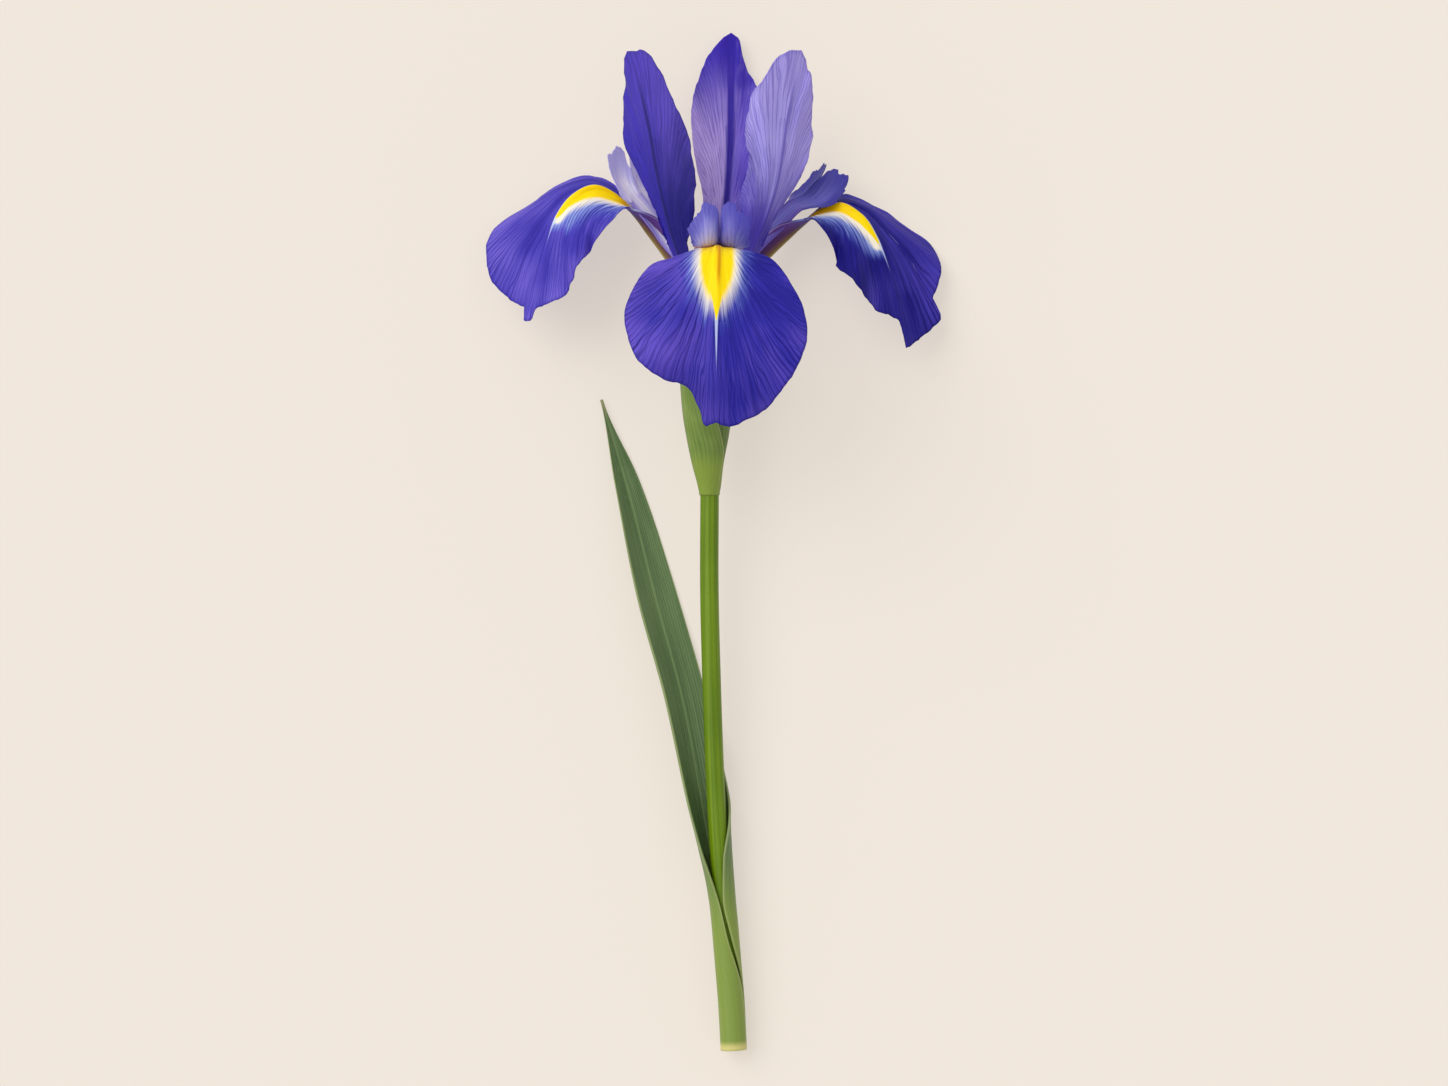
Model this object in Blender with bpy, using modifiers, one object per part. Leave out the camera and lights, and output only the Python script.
"""A cut iris flower with its stem and one leaf, laid on its back on a table.

The flower is drawn upright in its own frame, in millimetres: x to the right, y to the back and z up
the stem from its cut end. An empty then lays it down with its front facing up. Every petal is a
sheet: a flat outline, with a claw that fans out into a blade, is bent onto a curved midrib.
"""
import math

import bmesh
import bpy
import numpy as np
from mathutils import Matrix

MM = 0.001
BLADE = 0.7             # thickness of petals, leaf and spathe valves
GAP = 0.3               # clearance between touching pieces
STEM_RADIUS = 2.3
TUBE_BASE = 139.3       # height of the stem's top, where the spathe and the pedicel start
CUP_TOP = 190.0         # height of the cup that carries petals, stamens and style arms

# How the flower lies: it is turned about its stem, then tipped back, until it rests on the leaf
# blade and on the far lobe of the right fall.
LAY_TURN = math.radians(2.396)
LAY_TIP = math.radians(3.087)
LAY_SHIFT = (0.22, -128.42, 4.31)

# An outline is a list of (reach beyond the claw, half width) from the tip to the shoulder. A curl
# table gives, along the midrib, how far a side bends away from the face (1/radius, below 0 cups
# it). A way table gives the direction in which a side leaves the midrib, as (place, x, y, z).
FALL_CLAW = [(0, 2.6), (8, 3.2), (16, 3.8), (27, 4.4)]
FRONT_LEFT = [(50, 0.6), (51, 2.4), (46.5, 4.2), (42, 7), (39.5, 13), (33.5, 20), (24, 22.5), (14, 18.6),
              (7, 12), (2.5, 6.5)]
FRONT_RIGHT = [(50, 0.2), (51, 2), (49, 8.5), (43, 15.5), (35, 20.5), (25, 22), (15, 18), (8, 12),
               (2.5, 6.5)]
FRONT_CURL = [(0, -0.2), (10, -0.05), (24, 0.03), (34, 0.02), (75, 0.012)]
LEFT_NEAR = [(50.8, 0), (50.2, 1.2), (48.6, 1.6), (47.2, 2.1), (45, 4.9), (40.5, 9.6), (34, 14.6),
             (27, 18.2), (22, 19.2), (17, 18.6), (11, 15.6), (6, 10), (2, 6)]
LEFT_FAR = [(50.8, 0), (50.4, 1.4), (48.6, 1.9), (47.2, 2.3), (46, 4.4), (43, 9.2), (39, 14), (33, 18),
            (27, 18.8), (23, 17), (18, 13.8), (11, 10.5), (5, 7.5), (2, 5.8)]
RIGHT_NEAR = [(51, 0), (48, 0.3), (44, 0.9), (41, 3.6), (37, 8.0), (31, 12.6), (27, 14.5), (22.7, 15.8),
              (17, 16.2), (11, 14.8), (6, 10.2), (2, 6)]
RIGHT_FAR = [(51, 0), (48.5, 3.6), (46, 7), (44, 10.2), (42, 12.4), (40.2, 12.4), (38.5, 10.7), (35, 13.4),
             (31, 16.2), (27, 17.6), (22.7, 15.4), (15, 12.3), (9.6, 10), (5, 7.5), (2, 5.8)]
NEAR_CURL = [(0, -0.2), (10, -0.05), (20, 0.0), (27, 0.0), (38, 0.02), (54, -0.012), (78, -0.012)]
FAR_CURL = [(0, -0.2), (10, -0.05), (20, 0.0), (27, 0.02), (36, 0.035), (46, 0.025), (56, 0.0), (78, -0.01)]
LEFT_NEAR_WAY = [(0, -0.17, -0.98, 0), (18, -0.1, -0.98, 0.05), (24, 0.1, -0.96, 0.05),
                 (29, 0.15, -0.97, -0.05), (33, 0.1, -0.85, -0.5), (38, 0.05, -0.65, -0.75),
                 (45, 0.2, -0.6, -0.76), (54, 0.4, -0.62, -0.67), (60, 0.5, -0.6, -0.6),
                 (78, 0.65, -0.6, -0.5)]
RIGHT_NEAR_WAY = [(0, 0.17, -0.98, 0), (18, 0.1, -0.98, 0.05), (24, -0.1, -0.96, 0.05),
                  (29, -0.15, -0.97, -0.05), (33, -0.1, -0.85, -0.5), (38, -0.15, -0.55, -0.82),
                  (42, -0.33, -0.52, -0.78), (50, -0.45, -0.6, -0.66), (58, -0.5, -0.6, -0.62),
                  (78, -0.6, -0.6, -0.5)]
LEFT_FAR_WAY = [(0, 0.17, 0.98, 0), (20, 0.1, 0.95, 0.1), (28, -0.1, 0.77, 0.6), (33, -0.05, 0.8, 0.56),
                (38, -0.15, 0.8, 0.52), (45, -0.5, 0.75, 0.38), (50, -0.63, 0.7, 0.22),
                (54, -0.74, 0.62, 0.12), (60, -0.8, 0.58, 0.05), (66, -0.82, 0.55, -0.05),
                (78, -0.8, 0.5, -0.3)]
RIGHT_FAR_WAY = [(0, -0.17, 0.98, 0), (20, -0.1, 0.95, 0.1), (28, 0.1, 0.85, 0.4), (33, 0.05, 0.88, 0.4),
                 (38, 0.15, 0.82, 0.5), (45, 0.5, 0.75, 0.42), (50, 0.63, 0.7, 0.33),
                 (54, 0.74, 0.62, 0.2), (60, 0.8, 0.58, 0.05), (66, 0.82, 0.55, -0.05),
                 (78, 0.8, 0.5, -0.3)]
STANDARD_CLAW = [(0, 1.5), (7, 2.0), (14, 3.2)]
BACK_CLAW = [(0, 1.5), (9, 2.4), (18, 3.6)]
STANDARD_CURL = [(0, -0.2), (14, -0.1), (30, -0.06), (66, -0.05)]
OPEN_CURL = [(0, -0.2), (14, -0.08), (30, -0.04), (66, -0.03)]
STANDARD_ROLL = [(0, 0), (14, 15), (66, 22)]
ARM_CLAW = [(0, 1.3), (10, 2.6), (20, 4.0), (29, 5.2)]
CREST_LOBE = [(1, 0.4), (5.5, 0.7), (10, 1.8), (11.6, 3.8), (10.4, 5.8), (7, 7.4), (3, 7.8), (0, 6.4)]
ARM_CURL = [(0, 0.1), (16, 0.12), (30, 0.06), (42, 0.0)]
SIDE_ARM_ROLL = [(0, 0), (24, 7), (42, 35)]
CREST_PLEAT = [(0, 0), (22, 0), (30, -1.6), (42, -1.2)]
KEEL_SOFTNESS = 0.9     # half the width over which one side's direction turns into the other's

PETALS = {
    "fall_front": dict(
        colour="violet",
        claw=FALL_CLAW, left=FRONT_LEFT, right=FRONT_RIGHT, azimuth=0, curl=(FRONT_CURL, FRONT_CURL),
        wave=(1.2, 5, 1.0),
        midrib=[(0.3, -4.4, 188), (0.7, -12, 193), (1.2, -22, 197), (1.4, -31, 198.4), (1.4, -37, 196.2),
                (1.3, -40, 190.6), (1.2, -41.5, 179), (1.2, -39.5, 154)]),
    "fall_left": dict(
        colour="violet",
        claw=FALL_CLAW, left=LEFT_FAR, right=LEFT_NEAR, ways=(LEFT_FAR_WAY, LEFT_NEAR_WAY),
        curl=(FAR_CURL, NEAR_CURL), wave=(0.5, 4, 0.5),
        midrib=[(-4.1, 2.2, 188), (-9, 3.2, 194.5), (-14.6, 4, 202.3), (-20, 4.2, 208.9), (-24.8, 4, 213.7),
                (-29.5, 3, 215.6), (-34.5, 2, 213.4), (-38.4, 1, 208.6), (-41.2, 0, 201.5),
                (-43.6, -1, 192.5), (-46.5, -2, 179)]),
    "fall_right": dict(
        colour="violet",
        claw=FALL_CLAW, left=RIGHT_NEAR, right=RIGHT_FAR, ways=(RIGHT_NEAR_WAY, RIGHT_FAR_WAY),
        curl=(NEAR_CURL, FAR_CURL), wave=(0.5, 4, 2.5),
        midrib=[(4.7, 2.2, 188), (10.2, 3.2, 194), (16.6, 4, 200.6), (22.7, 4.2, 206), (27.4, 4, 209.7),
                (32, 3, 211.2), (36.8, 2, 208.6), (41, 1, 202.4), (44.2, 0, 194.8), (46.6, -1, 185.5),
                (48, -2, 176)]),
    "standard_left": dict(
        colour="indigo", lead=0.45, columns=12,
        claw=STANDARD_CLAW, azimuth=-60, roll=STANDARD_ROLL, wave=(0.6, 5, 0),
        curl=(STANDARD_CURL, STANDARD_CURL),
        left=[(50, 0), (50.4, 0.8), (48, 2), (43, 4.2), (38, 7.6), (32, 9.8), (26, 10), (20, 8), (14, 5.2),
              (8, 3.4), (2, 2.9)],
        right=[(50, 0), (49, 2.6), (46, 5.2), (41, 7.2), (36, 8.4), (31, 8.9), (26, 9.6), (20, 10.1),
               (14, 9.5), (9, 7.8), (4, 5.4), (1, 3.8)],
        midrib=[(-4.1, -2.2, 188), (-8.2, -5, 199), (-12, -8, 212), (-16, -10.5, 232), (-20.5, -12, 250.5)]),
    "standard_right": dict(
        colour="lavender", lead=0.45, columns=12,
        claw=STANDARD_CLAW, azimuth=60, roll=[(a, -turn) for a, turn in STANDARD_ROLL], wave=(0.6, 5, 2),
        curl=(STANDARD_CURL, OPEN_CURL),
        left=[(50, 0), (49, 4), (46, 7), (42, 9.1), (38.5, 10.3), (33, 10.3), (27.5, 10.6), (22.5, 8.8),
              (16.5, 8.8), (12, 8.1), (6.5, 6.8), (2, 4.5)],
        right=[(50, 0), (49.4, 1.6), (46.5, 3.2), (42, 5.2), (38.5, 7.3), (33, 9.1), (27.5, 9.6), (22.5, 8.4),
               (16.5, 5.8), (12, 3.8), (6.5, 2.8), (2, 2.9)],
        midrib=[(4.7, -2.2, 188), (9.6, -5, 199), (15.2, -8, 213), (18.9, -10.5, 233), (22.9, -12, 250.5)]),
    "standard_back": dict(
        colour="indigo", lead=0.45, columns=12,
        claw=BACK_CLAW, azimuth=180, wave=(0.6, 5, 1), curl=(OPEN_CURL, OPEN_CURL),
        left=[(51.7, 0), (50, 1.7), (46, 2.6), (42, 4.1), (36.5, 7), (31, 9.1), (26, 8.6), (19, 6.4),
              (12, 4.5), (6, 4.1), (2, 3.6)],
        right=[(51.7, 0), (50.2, 1.8), (46.5, 4.9), (41.5, 7.5), (38, 9), (34, 9.8), (27, 10), (21, 9.4),
               (16, 8.2), (12, 7), (6, 5.7), (2, 4.4)],
        midrib=[(0.4, 4.4, 188), (2.4, 7.5, 203), (4.2, 11, 220), (4.8, 13.5, 237), (4.8, 15, 258)]),
    "style_arm_front": dict(
        colour="lavender", claw=ARM_CLAW, left=CREST_LOBE, right=CREST_LOBE, azimuth=0,
        curl=(ARM_CURL, ARM_CURL), pleat=CREST_PLEAT, lead=0.2, columns=12, rows=12,
        midrib=[(0.4, -1.5, 190.7), (0.6, -8, 195.8), (0.9, -16, 199.4), (1.1, -23, 200.6), (1.2, -27, 200.6),
                (1.25, -29.2, 202), (1.3, -29.8, 205.5), (1.3, -29.2, 212)]),
    "style_arm_left": dict(
        colour="lavender", claw=ARM_CLAW, left=CREST_LOBE, right=CREST_LOBE, azimuth=-100,
        curl=(ARM_CURL, ARM_CURL), roll=[(a, -turn) for a, turn in SIDE_ARM_ROLL], pleat=CREST_PLEAT,
        lead=0.2, columns=12, rows=12,
        midrib=[(-1.3, 1.0, 190.7), (-6.5, 1.5, 198), (-11.5, 2.2, 205), (-16, 2.6, 211),
                (-18.5, 2.8, 215), (-20, 3, 219), (-21.3, 3, 225), (-22.3, 3, 231)]),
    "style_arm_right": dict(
        colour="lavender", claw=ARM_CLAW, left=CREST_LOBE, right=CREST_LOBE, azimuth=100,
        curl=(ARM_CURL, ARM_CURL), roll=SIDE_ARM_ROLL, pleat=CREST_PLEAT, lead=0.2, columns=12, rows=12,
        midrib=[(2.1, 1.0, 190.7), (8.2, 1.5, 198.8), (16, 2.2, 205.8), (23.5, 2.6, 211.4), (28, 2.8, 213.8),
                (32, 3, 217.2), (35.5, 3, 221.8), (38.5, 3, 227)]),
}

STEM = [(5.5, 0), (4.8, 12.5), (3.95, 22.5), (3.1, 32.5), (1.9, 47.5), (0.8, 67.5), (-0.1, 92.5),
        (-0.65, 115), (-0.6, TUBE_BASE)]

# The leaf sheathes the stem with a slit that winds from front to right, then opens into a blade.
LEAF_AZIMUTH = -150
SHEATH_GAP = 0.4
LEAF_RADIUS = STEM_RADIUS + SHEATH_GAP + BLADE / 2
SHEATH_KNOTS = 4        # this many of the stem's points carry the sheath
LEAF_MIDRIB = [(x + LEAF_RADIUS * math.sin(math.radians(LEAF_AZIMUTH)),
                -LEAF_RADIUS * math.cos(math.radians(LEAF_AZIMUTH)), z) for x, z in STEM[:SHEATH_KNOTS]]
LEAF_MIDRIB += [(-0.3, 3.5, 48), (-2.4, 4.6, 60), (-7.6, 6.8, 87.5), (-14.3, 9, 112.5), (-21.3, 11.2, 140),
                (-28, 12.8, 163)]
LEAF_CURL = [(0, -1 / LEAF_RADIUS), (34, -1 / LEAF_RADIUS), (50, -0.2), (70, -0.1), (95, -0.03), (170, 0)]
LEAF_LEFT = [(0, 12.2), (14, 11.5), (28, 8.4), (38, 7.2), (50, 7.0), (65, 6.6), (90, 6.3), (118, 6.0),
             (145, 3.7), (168, 0.3)]
LEAF_RIGHT = [(0, 5.8), (14, 6.5), (28, 9.4), (38, 9.2), (50, 7.7), (65, 6.2), (90, 5.8), (118, 5.4),
              (145, 3.5), (168, 0.3)]
LEAF_CREASE = [(0, 0), (45, 0), (80, 0.3), (170, 0.35)]

# A spathe valve hugs the ovary: its radius, the half angle that it covers and how far it leans out.
SPATHE_OUTER = dict(azimuth=-60, radius=[(0, 2.1), (6, 3.6), (14, 4.9), (22, 5.5), (30, 5.5), (40, 5.0),
                                         (47, 4.6)],
                    angle=[(0, 78), (3, 82), (9, 122), (14, 105), (20, 82), (32, 58), (42, 26), (47, 3)],
                    lean=[(0, 0), (10, 0.5), (20, 1.2), (30, 2.0), (47, 3.0)])
SPATHE_INNER = dict(azimuth=120, radius=[(0, 2.1), (6, 2.6), (14, 3.8), (22, 4.4), (30, 4.6), (38, 4.6),
                                         (44, 4.6)],
                    angle=[(0, 78), (3, 82), (8, 100), (20, 125), (32, 85), (40, 28), (44, 3)],
                    lean=[(0, 0), (14, 0), (30, 0.5), (44, 1.0)])

OVARY = [(0.3, 1.3), (8, 1.6), (13, 2.5), (24, 2.6), (33, 1.9), (42, 2.1), (46, 2.9), (48.5, 3.7),
         (CUP_TOP - TUBE_BASE, 3.7)]

ANTHER = [(0, 0.5), (6, 0.55), (8, 1.1), (17, 1.1), (19, 0.4)]
STAMENS = {
    "stamen_front": (0, [(0.35, -3.2, 190.8), (0.6, -8, 193.4), (0.9, -14, 196.2), (1.1, -22, 199.2)]),
    "stamen_left": (-100, [(-2.9, 1.8, 190.8), (-7.4, 2.3, 196.0), (-12.4, 2.8, 203.0), (-17.5, 3.2, 209.3)]),
    "stamen_right": (100, [(3.4, 1.8, 190.8), (7.6, 2.2, 195.2), (13.8, 2.8, 201.2), (20, 3.2, 206.4)]),
}

COLOURS = {
    "violet": (0.055, 0.035, 0.36), "indigo": (0.065, 0.035, 0.30), "lavender": (0.26, 0.20, 0.58),
    "stem": (0.17, 0.30, 0.06), "leaf": (0.10, 0.19, 0.05), "spathe": (0.19, 0.30, 0.08),
    "pollen": (0.75, 0.60, 0.22), "ovary": (0.25, 0.36, 0.12),
}


def smooth(table, x, hold=True):
    """Read a table of (place, value) at x along a smooth curve that, held, never overshoots a point."""
    knots, values = np.array(table, float).T
    slopes = np.gradient(values, knots)
    if hold:
        steps = np.diff(values, prepend=values[0], append=values[-1])
        slopes = np.where(steps[:-1] * steps[1:] > 0, slopes, 0)
    x = np.clip(x, knots[0], knots[-1])
    i = np.clip(np.searchsorted(knots, x) - 1, 0, len(knots) - 2)
    gap = knots[i + 1] - knots[i]
    t = (x - knots[i]) / gap
    start = (1 + 2 * t) * (1 - t) ** 2 * values[i] + t * (1 - t) ** 2 * gap * slopes[i]
    end = t * t * (3 - 2 * t) * values[i + 1] + t * t * (t - 1) * gap * slopes[i + 1]
    return start + end


def unit(vectors):
    return vectors / np.linalg.norm(vectors, axis=-1, keepdims=True)


def chords(points):
    """Distance along a chain of points, from its first one."""
    return np.append(0, np.cumsum(np.linalg.norm(np.diff(points, axis=0), axis=1)))


def curve_through(points, samples=400):
    """A smooth line through the points, as evenly read samples."""
    points = np.array(points, float)
    chord = chords(points)
    places = np.linspace(0, chord[-1], samples)
    return np.stack([smooth(np.stack([chord, column], 1), places, hold=False) for column in points.T], 1)


def along(midrib, a):
    """Point and heading at distance a along a midrib, which runs straight on past its end."""
    line = curve_through(midrib)
    length = chords(line)
    tangents = unit(np.gradient(line, axis=0))
    inside = np.clip(a, 0, length[-1])
    centre = np.stack([np.interp(inside, length, column) for column in line.T], -1)
    heading = unit(np.stack([np.interp(inside, length, column) for column in tangents.T], -1))
    return centre + heading * (a - inside)[..., None], heading


def fan(claw, left, right, q, t, lead, claw_share):
    """Flat place of a petal's point: q runs from its left edge, -1, to its right, 1; t from base to rim.

    Returns the distance along the midrib, the distance across it and how far into the blade it is.
    """
    throat, neck = claw[-1]

    def rim(outline):
        line = curve_through(outline)
        length = chords(line)
        reach = np.abs(q) * length[-1]
        return np.stack([np.interp(reach, length, column) for column in line.T], -1)

    edge = np.where((q < 0)[..., None], rim(left), rim(right))
    edge = np.stack([edge[..., 0] + throat, edge[..., 1] * np.sign(q)], -1)
    start = np.stack([np.full_like(q, throat), q * neck], -1)
    middle = start + np.stack([lead * np.linalg.norm(edge - start, axis=-1), 0 * q], -1)
    far = np.clip((t - claw_share) / (1 - claw_share), 0, 1)
    s = far[..., None]
    blade = (1 - s) ** 2 * start + 2 * s * (1 - s) * middle + s * s * edge
    claw_a = throat * np.clip(t / claw_share, 0, 1)
    a = np.where(t < claw_share, claw_a, blade[..., 0])
    b = np.where(t < claw_share, smooth(claw, claw_a) * q, blade[..., 1])
    return a, b, far


def level(azimuth, roll=((0, 0), (1, 0))):
    """Both sides lie square to the midrib and level at an azimuth, rolled by a table of degrees."""
    def sides(heading, a):
        across = np.array([math.cos(math.radians(azimuth)), math.sin(math.radians(azimuth)), 0.0])
        across = unit(across - (heading @ across)[..., None] * heading)
        turn = np.radians(smooth(roll, a))[..., None]
        across = across * np.cos(turn) + np.cross(heading, across) * np.sin(turn)
        return across, across
    return sides


def hung(left, right):
    """Each side leaves the midrib in the directions of its own table of (a, x, y, z)."""
    def sides(heading, a):
        outward = [unit(np.stack([smooth(np.array(table)[:, [0, axis]], a) for axis in (1, 2, 3)], -1))
                   for table in (left, right)]
        return -outward[0], outward[1]
    return sides


def bend(midrib, sides, a, b, curl=(0, 0), lift=0.0):
    """Bend a flat sheet onto its midrib: each side in its own direction, and curled across."""
    centre, heading = along(midrib, a)
    left, right = sides(heading, a)
    share = ((1 + np.tanh(b / KEEL_SOFTNESS)) / 2)[..., None]
    across = unit(left * (1 - share) + right * share)
    face = unit(np.cross(heading, across))
    k = np.where(b < 0, curl[0], curl[1])
    out = b * np.sinc(k * b / math.pi)
    drop = b * np.sin(k * b / 2) * np.sinc(k * b / 2 / math.pi)
    return centre + across * out[..., None] + face * (lift - drop)[..., None]


def finish(name, obj, colour):
    """Give an object its name, its material and its place under the flower's empty."""
    material = bpy.data.materials.get(colour) or bpy.data.materials.new(colour)
    material.use_nodes = True
    shader = material.node_tree.nodes["Principled BSDF"]
    shader.inputs["Base Color"].default_value = (*COLOURS[colour], 1)
    shader.inputs["Roughness"].default_value = 0.5
    shader.inputs["Metallic"].default_value = 0.0
    obj.name = obj.data.name = name
    obj.data.materials.append(material)
    obj.parent = FLOWER
    return obj


def sheet(name, colour, origin, place, columns, rows, thickness=BLADE):
    """A solid sheet: a grid whose points go where place(q, t) says, then thickened both ways."""
    grid = bmesh.new()
    bmesh.ops.create_grid(grid, x_segments=columns, y_segments=rows, size=1)
    flat = np.array([vert.co for vert in grid.verts])
    points = place(flat[:, 0], (flat[:, 1] + 1) / 2) - np.array(origin)
    for vert, point in zip(grid.verts, points):
        vert.co = point * MM
    bmesh.ops.triangulate(grid, faces=grid.faces[:])
    mesh = bpy.data.meshes.new(name)
    grid.to_mesh(mesh)
    grid.free()
    obj = bpy.data.objects.new(name, mesh)
    obj.location = np.array(origin) * MM
    wall = obj.modifiers.new("wall", "SOLIDIFY")
    wall.thickness = thickness * MM
    wall.offset = 0
    PIECES.objects.link(obj)
    return finish(name, obj, colour)


def petal(name, colour, claw, left, right, midrib, curl, azimuth=0, roll=((0, 0), (1, 0)), ways=None,
          wave=(0, 0, 0), pleat=None, lead=0.35, columns=14, rows=14, claw_rows=5):
    """A fall, a standard or a style arm with its crest."""
    sides = hung(*ways) if ways else level(azimuth, roll)

    def place(q, t):
        a, b, far = fan(claw, left, right, q, t, lead, claw_rows / rows)
        height, waves, phase = wave
        lift = height * far ** 3 * np.sin(waves * np.pi * q + phase)
        if pleat:
            lift = lift + smooth(pleat, a) * (np.cos(2 * np.pi * q) - 1) / 2
        return bend(midrib, sides, a, b, [smooth(side, a) for side in curl], lift)

    return sheet(name, colour, midrib[0], place, columns, rows)


def leaf():
    """The leaf: round the stem below, a channelled blade above."""
    length = chords(curve_through(LEAF_MIDRIB))[-1]

    def place(q, t):
        a = t * length
        b = np.where(q < 0, smooth(LEAF_RIGHT, a), smooth(LEAF_LEFT, a)) * q
        curl = smooth(LEAF_CURL, a)
        fold = smooth(LEAF_CREASE, a) * (np.sqrt(b * b + 1) - 1)
        return bend(LEAF_MIDRIB, level(LEAF_AZIMUTH), a, b, (curl, curl), fold)

    return sheet("leaf", "leaf", LEAF_MIDRIB[0], place, columns=12, rows=32)


def spathe_valve(name, azimuth, radius, angle, lean):
    """One of the two valves that wrap the ovary, leaning outwards as they rise."""
    side = math.radians(azimuth)
    base = np.array([STEM[-1][0], 0, TUBE_BASE + GAP])
    length = radius[-1][0]

    def place(q, t):
        a = t * length
        r = smooth(radius, a)
        turn = np.radians(azimuth + q * smooth(angle, a))
        away = smooth(lean, a)
        return base + np.stack([r * np.sin(turn) + away * math.sin(side),
                                -r * np.cos(turn) - away * math.cos(side), a], -1)

    return sheet(name, "spathe", base, place, columns=10, rows=11, thickness=0.6)


def tube(name, colour, points, radii, resolution=6):
    """A round stalk: a curve through the points, with its own radius at each."""
    curve = bpy.data.curves.new(name, "CURVE")
    curve.dimensions = "3D"
    curve.bevel_depth = MM
    curve.bevel_resolution = resolution
    curve.use_fill_caps = True
    origin = np.array(points[0])
    spline = curve.splines.new("POLY")
    spline.points.add(len(points) - 1)
    for knot, point, radius in zip(spline.points, points, radii):
        knot.co = (*((np.array(point) - origin) * MM), 1)
        knot.radius = radius
    obj = bpy.data.objects.new(name, curve)
    obj.location = origin * MM
    PIECES.objects.link(obj)
    return finish(name, obj, colour)


def stem():
    line = curve_through([(x, 0, z) for x, z in STEM], samples=24)
    return tube("stem", "stem", line, [STEM_RADIUS] * len(line))


def ovary():
    """Pedicel, ovary and perianth tube, grown as one, hidden in the spathe."""
    heights = np.linspace(OVARY[0][0], OVARY[-1][0], 26)
    lean = np.linspace(STEM[-1][0], PETALS["fall_front"]["midrib"][0][0], len(heights))
    points = [(x, 0, TUBE_BASE + height) for x, height in zip(lean, heights)]
    return tube("ovary", "ovary", points, smooth(OVARY, heights))


def stamen(name, azimuth, midrib):
    """A filament with its long anther, under the style arm."""
    def place(q, t):
        a = t * ANTHER[-1][0]
        return bend(midrib, level(azimuth), a, smooth(ANTHER, a) * q)

    return sheet(name, "pollen", midrib[0], place, columns=2, rows=9, thickness=0.8)


for old in list(bpy.data.objects):
    bpy.data.objects.remove(old)

PIECES = bpy.data.collections.new("pieces")
bpy.context.scene.collection.children.link(PIECES)
FLOWER = bpy.data.objects.new("flower", None)
PIECES.objects.link(FLOWER)

stem()
leaf()
ovary()
spathe_valve("spathe_outer", **SPATHE_OUTER)
spathe_valve("spathe_inner", **SPATHE_INNER)
for petal_name, form in PETALS.items():
    petal(petal_name, **form)
for stamen_name, (stamen_azimuth, stamen_midrib) in STAMENS.items():
    stamen(stamen_name, stamen_azimuth, stamen_midrib)

FLOWER.matrix_world = (Matrix.Translation(np.array(LAY_SHIFT) * MM)
                       @ Matrix.Rotation(LAY_TIP - math.pi / 2, 4, "X")
                       @ Matrix.Rotation(LAY_TURN, 4, "Z"))
